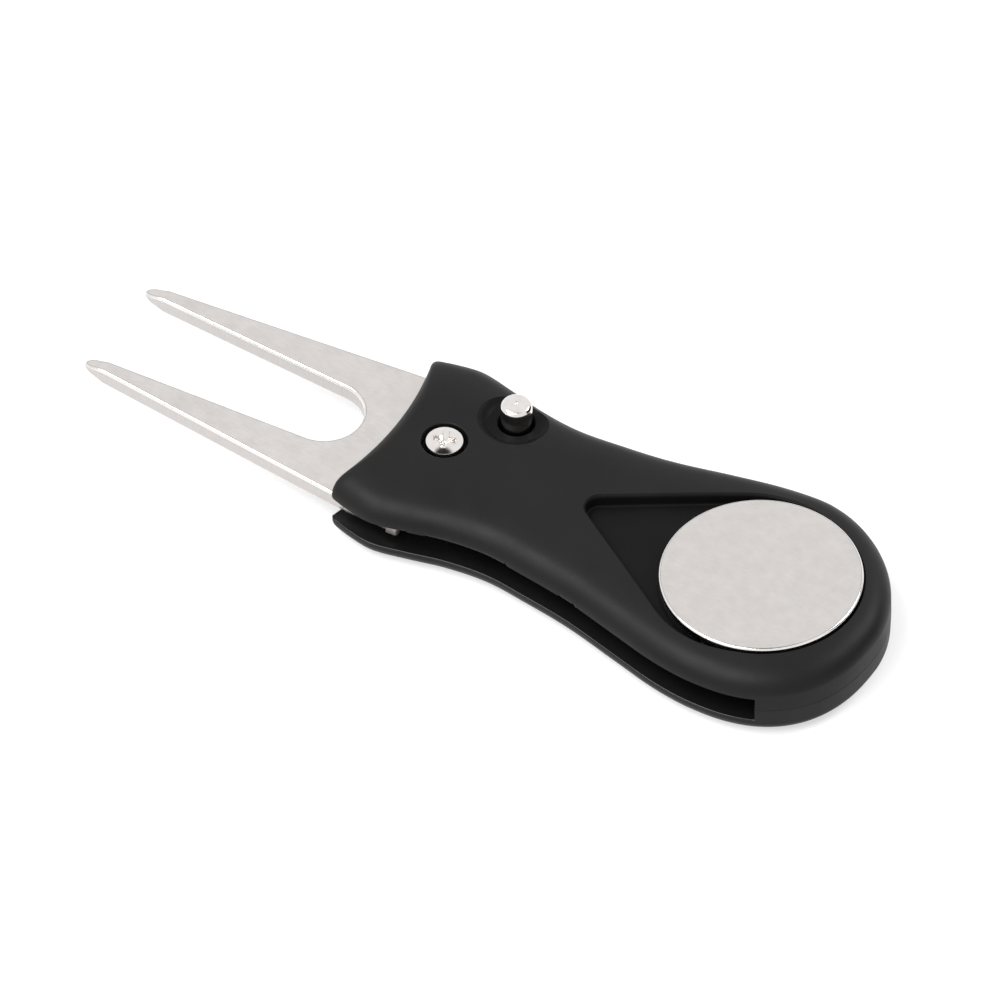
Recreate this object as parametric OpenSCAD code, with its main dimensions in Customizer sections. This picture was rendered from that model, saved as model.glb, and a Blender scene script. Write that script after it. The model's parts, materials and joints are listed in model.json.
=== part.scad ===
// Folding divot repair tool: two shells, a two-prong fork on a pivot, a plunger
// button that locks it, and a round ball marker held by a magnet.
// Units are millimetres. X runs from the prong tips to the marker end, Z is up,
// and the origin is under the middle of the open tool, on the surface it rests on.
// Every module is drawn about the pivot axis and moved there by at_pivot().

/* [Handle] */
// Distance from the pivot to the rear end
handle_rear = 61.1; // [60:0.1:64]
// Half the width of the head that holds the marker
head_half_width = 16.85; // [16.6:0.05:17.5]
// Distance from the pivot to the front edge on the centre line
front_edge = 7.2; // [7:0.1:8]
// Radius of the hollow front edge
front_hollow_r = 42; // [36:1:50]
// Radius of the round over the front edge's top
front_round = 1.9; // [1:0.1:2]
// Radius of the round under the bottom edge
bottom_round = 2.5; // [2:0.1:2.6]
// How far the top round reaches in from the side
top_round_in = 3.6; // [3:0.1:4]
// Height of the rim where the flat top begins
rim_height = 9.3; // [9:0.1:9.4]
// Height of the handle on its centre line
handle_height = 9.7; // [9.6:0.1:9.8]

/* [Slot for the fork] */
// Height of the slot's floor
slot_floor = 2.6; // [2.5:0.05:2.7]
// Height of the slot's roof
slot_roof = 6.3; // [6.2:0.05:6.4]
// Distance from the pivot to the slot's rear end
slot_end = 52.8; // [51:0.1:53]

/* [Fork] */
// Distance from the pivot to the prong tips
fork_reach = 47.7; // [45:0.1:47.7]
// Thickness of the fork's plate
fork_thick = 2.3; // [2:0.1:2.3]
// Half the fork's width inside the handle
fork_half_width = 11.45; // [11.2:0.05:11.45]
// Width of each prong just behind its tip
prong_width = 1.7; // [1.5:0.1:2]
// Radius of the round root between the prongs
root_r = 4.9; // [4.5:0.1:5]
// Distance from the pivot to the centre of that root
root_from_pivot = 17.3; // [17:0.1:19]
// Angle that the fork turns through to fold
fold_angle = 173; // [170:1:173]

/* [Lock button] */
// Button position along the handle, from the pivot
button_x = 5.6; // [5.5:0.1:5.7]
// Button position across the handle, from the pivot
button_y = 7.9; // [7.8:0.1:8]
// Radius of the button that the thumb presses
button_r = 1.97; // [1.9:0.01:2]
// Height of the button's top when it is out
button_top = 12; // [11.5:0.1:12]
// How far the button goes down
button_travel = 1.4; // [1.2:0.1:1.4]

/* [Ball marker] */
// Radius of the marker
marker_r = 12.5; // [12:0.1:12.5]
// Thickness of the marker
marker_thick = 1.78; // [1.5:0.01:1.78]
// Height of the marker's top
marker_top = 10; // [9.9:0.1:10]
// Distance from the pivot to the marker's centre
marker_x = 44.8; // [44.6:0.1:45]

/* [Hidden] */
$fn = 64;
eps = 0.01;
far = 40;

// The pivot's place, so that the open tool is centred on the origin
pivot_x = (fork_reach - handle_rear) / 2;

// Heights through the handle
parting = (slot_floor + slot_roof) / 2;
fork_under = slot_floor + 0.8;
fork_top = fork_under + fork_thick;
gap = 0.02;

// Half-widths of the handle from the front to the head, measured from the pivot:
// [distance along, on the slot's side, on the far side]
near_side = 1;
far_side = 2;
side_stations = [
    [-9.5, 12.4, 12.9], [-6, 13.4, 13.85], [-2.5, 13.9, 14.3], [2, 13.05, 13.45],
    [7, 11.9, 12.3], [12.5, 11.4, 11.75], [18, 11.95, 12.15], [25, 12.98, 13.05],
    [33, 14.9, 14.9], [39, 16.3, 16.15], [44.5, head_half_width, head_half_width - 0.2]
];
head_x = side_stations[len(side_stations) - 1][0];
// How square the rear end is on each side: 2 is round
head_power = [0, 2.4, 1.83];
corner = 1;
front_steps = 5;
corner_steps = 3;
side_steps = 18;
rear_steps = 10;

// Pivot stack
bush_r = 2.95;
bush_bore_r = 2.0;
fork_bore_r = 3.0;
barrel_r = 1.95;
thread_r = 1.5;
screw_head_r = 2.4;
screw_seat = 8.0;
screw_top = 10.0;
counterbore_r = 2.9;
nut_seat = 1.6;

// Torsion spring above the fork, in a round pocket of the top shell
spring_wire = 0.6;
spring_r = 4.1;
spring_turns = 2;
spring_pitch = 0.64;
spring_low = 6.67;
spring_leg_r = 6.2;
spring_leg_angle = -30;
spring_arm_r = 6;
spring_arm_angle = 200;
arm_slot_end = 6.4;
coil_boss_r = 3.35;
coil_pocket_r = 5.1;
coil_pocket_top = 8.7;
leg_pocket_r = 6.9;
leg_pocket_top = 7.2;

// Button, its lock collar and the shapes that the fork holds for them
button_reach = norm([button_x, button_y]);
button_angle = atan2(button_y, button_x);
neck_r = 1.05;
collar_r = 2.3;
collar_thick = 1;
collar_top = fork_under - 0.1;
notch_r = 2.4;
track_side = 0.22;
button_pocket_floor = collar_top - collar_thick - button_travel - 0.1;
tang_r = button_reach - neck_r - track_side;
ear_r = 11.2;
// The fork's edges spread from the tips to shoulder_x and run straight to its rear
shoulder_x = -9.3;
edge_spread = 0.095;
fork_rear = 0.15;
prong_point = 1.6;
heel_front = -1.4;
heel_rear = 0.1;
heel_out = 11.87;
heel_round = 0.35;
cavity_r = 12.35;
button_hole_r = 2.32;
dish_r = 4.75;
dish_floor = 8.75;

// Marker seat, thumb recess and magnet
marker_under = marker_top - marker_thick;
marker_pocket_r = 12.75;
seat = marker_under - gap;
recess_floor = 7.9;
recess_front_x = 22.2;
recess_front_r = 1.8;
recess_rear_x = 43.2;
recess_rear_r = 12.9;
seat_r = 10.2;
magnet_r = 5;
magnet_thick = 1.3;

// Case screws from below: position of each, and sizes
screw_spots = [[56.5, -5.5], [56.5, 5.5], [37, 11]];
case_head_r = 1.9;
case_head_z = [0.3, 1.5];
case_shank_r = 1.0;
case_screw_end = 6.8;

// Pegs of the bottom shell that line the two shells up
peg_spots = [[58.2, 0], [26, 8.6]];
peg_r = 0.8;

// ---------- handle outline ----------

// Slope of a side at station i, for a smooth curve through the stations
function slope(i, side) =
    let (s = side_stations, last = len(s) - 1, a = s[max(i - 1, 0)], b = s[min(i + 1, last)])
    i == last ? 0 : (b[side] - a[side]) / (b[0] - a[0]);

// Index of the stretch that holds x
function stretch(x, i = 0) =
    i >= len(side_stations) - 2 || x < side_stations[i + 1][0] ? i : stretch(x, i + 1);

// Half-width of the handle at x, on one side
function half_width(x, side) =
    let (
        i = stretch(x),
        a = side_stations[i],
        b = side_stations[i + 1],
        w = b[0] - a[0],
        t = (x - a[0]) / w
    )
    a[side] * (1 + 2 * t) * pow(1 - t, 2) + slope(i, side) * w * t * pow(1 - t, 2)
    + b[side] * t * t * (3 - 2 * t) + slope(i + 1, side) * w * t * t * (t - 1);

// Front edge at a distance y from the centre line
function front_x(y) = -front_edge - front_hollow_r + sqrt(pow(front_hollow_r, 2) - y * y);

function bend(a, b, c, t) = a * pow(1 - t, 2) + 2 * b * t * (1 - t) + c * t * t;

// One side of the outline as seen from the centre line, moved in by inset, and its front
// moved back by setback
function half_outline(inset, setback, side) =
    let (
        tip_y = half_width(front_x(12), side) - inset,
        tip = [front_x(tip_y) + setback, tip_y],
        before = [front_x(tip_y - corner) + setback, tip_y - corner],
        after = [tip[0] + corner, half_width(tip[0] + corner, side) - inset],
        a = handle_rear - head_x - inset,
        b = half_width(head_x, side) - inset,
        power = 2 / head_power[side]
    )
    concat(
        [for (i = [0:front_steps - 1])
            let (y = before[1] * (i + 0.5) / front_steps) [front_x(y) + setback, y]],
        [for (i = [0:corner_steps]) bend(before, tip, after, i / corner_steps)],
        [for (i = [1:side_steps])
            let (x = after[0] + (head_x - after[0]) * i / side_steps)
            [x, half_width(x, side) - inset]],
        [for (i = [1:rear_steps])
            let (t = 90 - 88 * i / rear_steps)
            [head_x + a * pow(cos(t), power), b * pow(sin(t), power)]]
    );

function outline(inset, setback) =
    let (near = half_outline(inset, setback, near_side), n = len(near))
    concat(
        half_outline(inset, setback, far_side),
        [for (i = [n - 1:-1:0]) [near[i][0], -near[i][1]]]
    );

// How far the front edge lies back at height z, where it is rounded over
function front_back(z) =
    let (up = max(z - handle_height + front_round, 0) / front_round)
    front_round * (1 - sqrt(1 - min(up * up, 1)));

// Rings of the skin: [height, side inset, front setback], from the bottom up
skin_rings = concat(
    [for (t = [90, 65, 40, 18, 0])
        [bottom_round * (1 - sin(t)), bottom_round * (1 - cos(t)), 0.6 * (1 - cos(t))]],
    [for (t = [0, 25, 50, 72, 90])
        let (z = slot_roof + (rim_height - slot_roof) * sin(t))
        [z, top_round_in * (1 - cos(t)), front_back(z)]],
    [for (p = [[rim_height + 0.26, 6], [handle_height, 9]]) [p[0], p[1], front_back(p[0])]]
);

// Triangles of a flat cap over the outline, clockwise from above. The hollow front is a
// fan about the extra point at index hub, and the rest a ladder between the two sides.
function cap(half, hub) =
    let (
        k = front_steps + corner_steps + 3,
        fan = concat([for (i = [k:-1:0]) 2 * half - 1 - i], [for (i = [0:k]) i])
    )
    concat(
        [for (i = [0:len(fan) - 1]) [hub, fan[i], fan[(i + 1) % len(fan)]]],
        [for (i = [k:half - 2]) each [
            [i, i + 1, 2 * half - 2 - i], [i, 2 * half - 2 - i, 2 * half - 1 - i]
        ]]
    );

module skin() {
    rings = [for (r = skin_rings) [for (p = outline(r[1], r[2])) [p[0], p[1], r[0]]]];
    n = len(rings[0]);
    last = len(rings) - 1;
    hub_low = n * (last + 1);
    hub_high = hub_low + 1;
    points = concat([for (ring = rings) each ring], [[-1.3, 0, 0], [-1.3, 0, handle_height]]);
    sides = [for (k = [0:last - 1]) for (i = [0:n - 1])
        let (j = (i + 1) % n, a = k * n + i, b = a + n, c = (k + 1) * n + j, d = k * n + j)
        each [[a, c, b], [a, d, c]]];
    bottom = [for (t = cap(n / 2, hub_low)) [t[0], t[2], t[1]]];
    top = [for (t = cap(n / 2, hub_high)) [for (v = t) v == hub_high ? v : v + last * n]];
    polyhedron(points, concat(bottom, sides, top), convexity = 6);
}

// ---------- shared shapes ----------

module at_pivot() {
    translate([pivot_x, 0, 0]) children();
}

module disc(r, z0, z1) {
    translate([0, 0, z0]) cylinder(r = r, h = z1 - z0);
}

// Hole of radius r0 from z0 up to z1, and of radius r1 from there up to z2
module stepped_hole(r0, z0, z1, r1, z2) {
    rotate_extrude() polygon([[0, z0], [r0, z0], [r0, z1], [r1, z1], [r1, z2], [0, z2]]);
}

module ring(r_out, r_in, z0, z1) {
    difference() {
        disc(r_out, z0, z1);
        disc(r_in, z0 - 1, z1 + 1);
    }
}

// Wedge from angle a to angle b about the pivot, under 180 degrees
module wedge(a, b, z0, z1) {
    translate([0, 0, z0]) linear_extrude(z1 - z0) polygon([
        [0, 0], far * [cos(a), sin(a)], far * [cos((a + b) / 2), sin((a + b) / 2)],
        far * [cos(b), sin(b)]
    ]);
}

// Space for the fork between the shells, open at the front and along one side
module fork_space() {
    translate([0, 0, slot_floor]) linear_extrude(slot_roof - slot_floor) polygon([
        [-20, -far], [slot_end, -far], [slot_end, 1.4], [10.4, 10.6], [6.4, 11.1],
        [0, 11.75], [-20, 11.75]
    ]);
    disc(cavity_r, slot_floor, slot_roof);
}

// Thumb recess above z, tear-shaped in plan with its point to the front
module recess(z) {
    tilt = asin((recess_rear_r - recess_front_r) / (recess_rear_x - recess_front_x));
    front = [recess_front_x, 0];
    rear = [recess_rear_x, 0];
    up = [-sin(tilt), cos(tilt)];
    down = [-sin(tilt), -cos(tilt)];
    translate(front) disc(recess_front_r, z, far);
    translate(rear) disc(recess_rear_r, z, far);
    translate([0, 0, z]) linear_extrude(far - z) polygon([
        front, front + recess_front_r * up, rear + recess_rear_r * up, rear,
        rear + recess_rear_r * down, front + recess_front_r * down
    ]);
}

// Tube swept along points, for springs
module wire(path, r, sides = 6) {
    n = len(path);
    function dir(i) =
        let (d = path[min(i + 1, n - 1)] - path[max(i - 1, 0)]) d / norm(d);
    function side(i) =
        let (d = dir(i), s = abs(d[2]) > 0.9 ? cross(d, [1, 0, 0]) : cross(d, [0, 0, 1]))
        s / norm(s);
    points = [for (i = [0:n - 1]) for (k = [0:sides - 1])
        let (s = side(i), u = cross(s, dir(i)), a = 360 * k / sides)
        path[i] + r * (cos(a) * s + sin(a) * u)];
    walls = [for (i = [0:n - 2]) for (k = [0:sides - 1])
        let (m = (k + 1) % sides)
        [i * sides + k, i * sides + m, (i + 1) * sides + m, (i + 1) * sides + k]];
    polyhedron(points, concat(
        [[for (k = [sides - 1:-1:0]) k]], walls, [[for (k = [0:sides - 1]) (n - 1) * sides + k]]
    ));
}

// ---------- shells ----------

module top_shell() {
    color("#2f2e30") at_pivot() difference() {
        skin();
        translate([-far, -far, -1]) cube([4 * far, 2 * far, parting + 1]);
        fork_space();
        // pivot screw hole and the pocket of its head
        stepped_hole(bush_bore_r, slot_floor, screw_seat, counterbore_r, far);
        // spring pocket, the wider ring that its lower leg sweeps, and a slot for the upper leg
        rotate_extrude() polygon([
            [coil_boss_r, slot_roof - eps], [leg_pocket_r, slot_roof - eps],
            [leg_pocket_r, leg_pocket_top], [coil_pocket_r, leg_pocket_top],
            [coil_pocket_r, coil_pocket_top], [coil_boss_r, coil_pocket_top]
        ]);
        rotate(spring_arm_angle) translate([coil_pocket_r - 1, -0.55, slot_roof - eps])
            cube([arm_slot_end - coil_pocket_r + 1, 1.1, coil_pocket_top - slot_roof]);
        // button hole in its dish
        translate([button_x, button_y, 0])
            stepped_hole(button_hole_r, slot_floor, dish_floor, dish_r, far);
        // marker seat, thumb recess and magnet pocket
        translate([marker_x, 0, 0]) disc(marker_pocket_r, seat, far);
        recess(seat);
        difference() {
            recess(recess_floor);
            translate([marker_x, 0, 0]) disc(seat_r, 0, far + 1);
            translate([recess_rear_x, -far, 0]) cube([far, 2 * far, far + 1]);
        }
        translate([marker_x, 0, 0]) disc(magnet_r + 0.05, seat - magnet_thick - 0.05, far);
        // pilot holes of the case screws, and sockets for the pegs
        for (p = screw_spots) translate(p) disc(case_shank_r + 0.02, 0, case_screw_end + 0.2);
        for (p = peg_spots) translate(p) disc(peg_r + 0.05, 0, parting + 1.5);
    }
}

module bottom_shell() {
    color("#39383a") at_pivot() {
        difference() {
            skin();
            translate([-far, -far, parting]) cube([4 * far, 2 * far, far]);
            fork_space();
            stepped_hole(2.95, -1, nut_seat, barrel_r + 0.03, slot_roof);
            translate([button_x, button_y, 0]) disc(collar_r + 0.25, button_pocket_floor, far);
            for (p = screw_spots) translate(p)
                stepped_hole(case_head_r + 0.2, -1, case_head_z[1], case_shank_r + 0.15, far);
        }
        for (p = peg_spots) translate(p) disc(peg_r, parting - 1, parting + 1.4);
    }
}

// ---------- fork ----------

// Half-width of the fork's outer edge at x
function prong_edge(x) = fork_half_width + edge_spread * (x - shoulder_x);

// Plate with its two prongs, the tang behind the pivot, an ear that stops it at the
// button, and a heel that shows beside the handle
module fork_blank() {
    tip_r = prong_width / 2;
    tip = [-fork_reach + prong_point, prong_edge(-fork_reach + prong_point) - tip_r];
    prong = concat(
        [[-root_from_pivot, root_r]],
        [for (a = [-90:15:90]) tip + [-prong_point * cos(a), tip_r * sin(a)]],
        [[shoulder_x, fork_half_width], [fork_rear, fork_half_width]]
    );
    translate([0, 0, fork_under]) linear_extrude(fork_thick)
        polygon(concat(prong, [for (i = [len(prong) - 1:-1:0]) [prong[i][0], -prong[i][1]]]));
    disc(tang_r, fork_under, fork_top);
    intersection() {
        disc(ear_r, fork_under, fork_top);
        wedge(button_angle, 100, fork_under, fork_top);
    }
    translate([0, 0, fork_under]) linear_extrude(fork_thick) polygon([
        [heel_front, -fork_half_width + 0.4], [heel_front, -heel_out],
        [heel_rear - heel_round, -heel_out], [heel_rear, -heel_out + heel_round],
        [heel_rear, -fork_half_width + 0.4]
    ]);
}

module fork() {
    tip_top = 0.8;
    tip_under = 1.1;
    tip_len = 3;
    folded = button_angle - fold_angle;
    color("#d6d4d1") at_pivot() difference() {
        fork_blank();
        translate([-root_from_pivot, 0]) disc(root_r, 0, far);
        disc(fork_bore_r, 0, far);
        // lock notches for the open and the folded fork, and the neck's way between them
        for (a = [button_angle, folded])
            rotate(a) translate([button_reach, 0]) disc(notch_r, 0, far);
        intersection() {
            ring(button_reach + neck_r + track_side, tang_r, 0, far);
            wedge(folded, -50, 0, far);
        }
        // hole for the torsion spring's lower leg
        rotate(spring_leg_angle) translate([spring_leg_r, 0]) disc(spring_wire / 2 + 0.15, 0, far);
        // the prong tips taper in thickness
        translate([-fork_reach + tip_len, 0, fork_top]) rotate([0, -atan(tip_top / tip_len), 0])
            translate([-far / 4, -far, 0]) cube([far / 4, 2 * far, 5]);
        translate([-fork_reach + tip_len, 0, fork_under]) rotate([0, atan(tip_under / tip_len), 0])
            translate([-far / 4, -far, -5]) cube([far / 4, 2 * far, 5]);
    }
}

// ---------- pivot ----------

module pivot_screw() {
    dome = 0.35;
    dome_r = (pow(screw_head_r, 2) + dome * dome) / (2 * dome);
    cross_w = 0.75;
    color("#c9c9c9") at_pivot() difference() {
        union() {
            intersection() {
                disc(screw_head_r, screw_seat + gap, screw_top);
                translate([0, 0, screw_top - dome_r]) sphere(r = dome_r, $fn = 96);
            }
            disc(thread_r - 0.02, 2.2, screw_seat + 0.5);
        }
        for (a = [0, 90]) rotate(a + 20)
            translate([-1.5, -cross_w / 2, screw_top - 0.95]) cube([3, cross_w, 2]);
    }
}

module pivot_nut() {
    color("#8f9093") at_pivot() difference() {
        union() {
            disc(2.75, 0.4, nut_seat - gap);
            disc(barrel_r, nut_seat - 0.5, 7.2);
        }
        disc(thread_r + 0.02, 1.4, far);
        translate([-2.0, -0.4, -1]) cube([4, 0.8, 1.9]);
    }
}

module pivot_bush() {
    color("#b08d4a") at_pivot() ring(bush_r, bush_bore_r, slot_floor + gap, slot_roof - gap);
}

module upper_washer() {
    color("#b9babb") at_pivot() ring(5.4, bush_r + 0.05, fork_top + 0.05, slot_roof - 0.04);
}

module lower_washer() {
    color("#e4e1d8") at_pivot() ring(6.2, bush_r + 0.05, slot_floor + gap, fork_under - 0.05);
}

// Coil above the fork. Its lower leg drops into the fork and its upper leg bears on the shell.
module torsion_spring() {
    per_turn = 20;
    steps = spring_turns * per_turn + 10;
    turn = 360 / per_turn;
    lead = spring_leg_angle + 50;
    function on_coil(i) = [
        spring_r * cos(lead + i * turn), spring_r * sin(lead + i * turn),
        spring_low + spring_pitch * i / per_turn
    ];
    leg = spring_leg_r * [cos(spring_leg_angle), sin(spring_leg_angle)];
    end = spring_arm_r * [cos(spring_arm_angle), sin(spring_arm_angle)];
    path = concat(
        [[leg[0], leg[1], fork_under + 0.3], [leg[0], leg[1], spring_low - 0.35],
            [leg[0] * 0.97, leg[1] * 0.97, spring_low]],
        [for (i = [0:steps]) on_coil(i)],
        [[end[0], end[1], on_coil(steps)[2]]]
    );
    color("#a9abad") at_pivot() wire(path, spring_wire / 2);
}

// ---------- lock button ----------

module lock_button() {
    chamfer = 0.35;
    dimple = 0.2;
    bore_r = 0.7;
    bore_top = 6.6;
    neck_top = fork_top + button_travel + 0.1;
    collar_under = collar_top - collar_thick;
    color("#d2d2d2") at_pivot() translate([button_x, button_y, 0]) rotate_extrude() polygon([
        [bore_r, collar_under], [collar_r, collar_under], [collar_r, collar_top],
        [neck_r, collar_top], [neck_r, neck_top], [button_r, neck_top],
        [button_r, button_top - chamfer], [button_r - chamfer, button_top],
        [dimple, button_top], [0, button_top - dimple], [0, bore_top], [bore_r, bore_top]
    ]);
}

module button_spring() {
    coil_r = 0.48;
    wire_r = 0.13;
    turns = 8;
    per_turn = 12;
    low = button_pocket_floor + wire_r + 0.01;
    high = 6.4;
    path = [for (i = [0:turns * per_turn])
        let (a = 360 * i / per_turn)
        [coil_r * cos(a), coil_r * sin(a), low + (high - low) * i / (turns * per_turn)]];
    color("#8d8f92") at_pivot() translate([button_x, button_y, 0]) wire(path, wire_r);
}

// ---------- marker ----------

module marker_magnet() {
    color("#77787b") at_pivot() translate([marker_x, 0, 0])
        disc(magnet_r, seat - magnet_thick, seat - gap);
}

module ball_marker() {
    bevel = 0.12;
    color("#d8d6d4") at_pivot() translate([marker_x, 0, marker_under]) rotate_extrude($fn = 128)
        polygon([
            [0, 0], [marker_r - bevel, 0], [marker_r, bevel], [marker_r, marker_thick - bevel],
            [marker_r - bevel, marker_thick], [0, marker_thick]
        ]);
}

// ---------- case screws ----------

module case_screws() {
    color("#4a4b4e") at_pivot() for (p = screw_spots) translate(p) difference() {
        union() {
            disc(case_head_r, case_head_z[0], case_head_z[1] - gap);
            disc(case_shank_r, case_head_z[0] + 0.2, case_screw_end);
        }
        for (a = [0, 90]) rotate(a)
            translate([-1.2, -0.3, case_head_z[0] - 1]) cube([2.4, 0.6, 1.7]);
    }
}

top_shell();
bottom_shell();
fork();
pivot_screw();
pivot_nut();
pivot_bush();
upper_washer();
lower_washer();
torsion_spring();
lock_button();
button_spring();
marker_magnet();
ball_marker();
case_screws();
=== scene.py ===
"""Looks of a folding divot repair tool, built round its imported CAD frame.

Shapes are made in millimetres about the pivot axis, and settle() then moves each one
to its place in the frame, in metres.
"""

import json
import math

import bmesh
import bpy
from mathutils import Matrix, Vector


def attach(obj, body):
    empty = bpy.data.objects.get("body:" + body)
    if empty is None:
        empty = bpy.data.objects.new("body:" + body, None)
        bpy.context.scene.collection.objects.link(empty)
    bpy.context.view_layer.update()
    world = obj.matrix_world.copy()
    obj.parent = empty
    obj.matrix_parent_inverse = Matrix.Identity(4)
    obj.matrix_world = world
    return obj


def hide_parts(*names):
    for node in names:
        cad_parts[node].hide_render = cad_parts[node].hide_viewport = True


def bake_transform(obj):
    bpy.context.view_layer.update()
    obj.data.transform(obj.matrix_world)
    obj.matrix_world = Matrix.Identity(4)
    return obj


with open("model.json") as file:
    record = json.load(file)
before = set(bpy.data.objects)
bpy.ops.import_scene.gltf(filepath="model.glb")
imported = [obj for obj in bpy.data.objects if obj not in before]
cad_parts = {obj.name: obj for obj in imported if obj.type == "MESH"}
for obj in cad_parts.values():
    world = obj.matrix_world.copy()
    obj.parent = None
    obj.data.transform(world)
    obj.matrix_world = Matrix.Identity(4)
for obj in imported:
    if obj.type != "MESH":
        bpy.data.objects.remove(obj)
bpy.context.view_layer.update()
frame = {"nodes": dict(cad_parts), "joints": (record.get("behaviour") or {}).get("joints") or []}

MM = 0.001
fold = next(j for j in frame["joints"] if j["name"] == "fork_fold")
PIVOT_X = fold["pos_m"][0] / MM

# Handle, as in the CAD: half-widths of its outline at distances from the pivot,
# as (distance along, on the slot's side, on the far side)
NEAR, FAR = 1, 2
SIDE_STATIONS = [
    (-9.5, 12.4, 12.9), (-6, 13.4, 13.85), (-2.5, 13.9, 14.3), (2, 13.05, 13.45),
    (7, 11.9, 12.3), (12.5, 11.4, 11.75), (18, 11.95, 12.15), (25, 12.98, 13.05),
    (33, 14.9, 14.9), (39, 16.3, 16.15), (44.5, 16.85, 16.65),
]
HEAD_X = SIDE_STATIONS[-1][0]
HEAD_POWER = {NEAR: 2.4, FAR: 1.83}
HANDLE_REAR = 61.1
FRONT_EDGE = 7.2
FRONT_HOLLOW_R = 42
CORNER = 1
BOTTOM_ROUND = 2.5
TOP_ROUND_IN = 3.6
TOP_ROUND_UP = 3.0
HANDLE_TOP = 9.7
DOME_IN = 9
FRONT_ROUND = 1.9
PARTING = 4.45
SLOT_FLOOR = 2.6
SLOT_ROOF = 6.3
SWING_R = 12.35

# Fork
FORK_UNDER = 3.4
FORK_TOP = 5.7
FORK_HALF = 11.45
FORK_REACH = 47.7
FORK_BORE_R = 3.0
FOLD_ANGLE = 173
SHOULDER_X = -9.3
EDGE_SPREAD = 0.095
PRONG_TIP_R = 0.85
PRONG_POINT = 1.6
TAPER_LENGTH = 3
GAP_ROOT = (-17.3, 0)
GAP_ROOT_R = 4.9
TANG_R = 8.41
TANG_REAR = 0.15
EAR_R = 11.2
TRACK_R = 10.95
NOTCH_R = 2.4

# Pivot, button and marker
PIVOT_SEAT = 8.0
SCREW_TOP = 10.0
SCREW_HEAD_R = 2.4
SCREW_DOME = 0.42
BUSH_BORE_R = 2.0
COUNTERBORE_R = 2.9
BUTTON = (5.6, 7.9)
BUTTON_R = 1.97
BUTTON_TOP = 12.0
BUTTON_ANGLE = math.degrees(math.atan2(BUTTON[1], BUTTON[0]))
BUTTON_REACH = math.hypot(*BUTTON)
MARKER_X = 44.8
MARKER_R = 12.5
MARKER_TOP = 10.0
MARKER_UNDER = 8.22
MARKER_EDGE = 0.3
MARKER_POCKET_R = 12.75
MAGNET_POCKET_R = 5.05
MAGNET_POCKET_FLOOR = 6.85
SEAT = 8.2
SEAT_R = 10.2
RECESS_FLOOR = 7.9
RECESS_FRONT_X = 22.2
RECESS_FRONT_R = 1.8
RECESS_REAR_X = 43.2
RECESS_REAR_R = 12.9
DISH_FLOOR = 8.7
DISH_IN_R = 3.3
DISH_OUT_R = 5.0
CASE_SCREWS = [(56.5, -5.5), (56.5, 5.5), (37, 11)]
PEGS = [(58.2, 0), (26, 8.6)]

# Torsion spring, and its pocket in the top shell
COIL_R = 4.1
COIL_LOW = 6.67
COIL_PITCH = 0.64
COIL_TURNS = 2.5
LEG_R = 6.2
LEG_ANGLE = -30
ARM_R = 6
ARM_ANGLE = 200
ARM_SLOT_END = 6.4
COIL_BOSS_R = 3.35
COIL_POCKET_R = 5.1
COIL_POCKET_TOP = 8.7
LEG_POCKET_R = 6.9
LEG_POCKET_TOP = 7.2

# Heights for cutters: below the handle, above it, and from one end of a through cut to the other
CLEAR_LOW = -1
CLEAR_HIGH = 13
THROUGH = (0, 20)

# Corners closer together than this are one
WELD = 2e-4


# ---------- mesh helpers, in millimetres about the pivot axis ----------


def make(name, points, faces):
    mesh = bpy.data.meshes.new(name)
    mesh.from_pydata(points, [], faces)
    mesh.update()
    obj = bpy.data.objects.new(name, mesh)
    bpy.context.scene.collection.objects.link(obj)
    return obj


def loft(name, rings):
    """Closed solid through rings of equal length, from the bottom up, anticlockwise from above."""
    n = len(rings[0])
    points = [p for ring in rings for p in ring]
    faces = [tuple(range(n - 1, -1, -1))]
    for k in range(len(rings) - 1):
        for i in range(n):
            j = (i + 1) % n
            faces.append((k * n + i, k * n + j, (k + 1) * n + j, (k + 1) * n + i))
    faces.append(tuple(range(len(points) - n, len(points))))
    return make(name, points, faces)


def prism(name, polygon, low, high):
    return loft(name, [[(x, y, z) for x, y in polygon] for z in (low, high)])


def circle(radius, centre=(0, 0), steps=96, start=0.0, end=360.0):
    """Points on an arc from start to end, in degrees. A full circle isn't closed on itself."""
    last = steps if end - start >= 360 else steps - 1
    turns = [math.radians(start + (end - start) * i / last) for i in range(steps)]
    return [(centre[0] + radius * math.cos(a), centre[1] + radius * math.sin(a)) for a in turns]


def turned(points, angle):
    """Points turned about the pivot axis by an angle in degrees."""
    c, s = math.cos(math.radians(angle)), math.sin(math.radians(angle))
    return [(x * c - y * s, x * s + y * c) for x, y in points]


def disc(name, radius, low, high, centre=(0, 0), steps=96):
    return prism(name, circle(radius, centre, steps), low, high)


def lathe(name, profile, centre=(0, 0), steps=96, tube=False):
    """Solid of revolution. The profile of (radius, height) goes up its outside from axis to axis,
    or all the way round the section of a tube."""
    points = []
    rings = []
    for r, z in profile:
        if r < 1e-6:
            rings.append([len(points)] * steps)
            points.append((centre[0], centre[1], z))
            continue
        rings.append(list(range(len(points), len(points) + steps)))
        points += [(x, y, z) for x, y in circle(r, centre, steps)]
    pairs = list(zip(rings, rings[1:]))
    if tube:
        pairs.append((rings[-1], rings[0]))
    faces = []
    for a, b in pairs:
        for i in range(steps):
            j = (i + 1) % steps
            corners = list(dict.fromkeys((a[i], a[j], b[j], b[i])))
            if len(corners) > 2:
                faces.append(tuple(corners))
    return make(name, points, faces)


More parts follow.
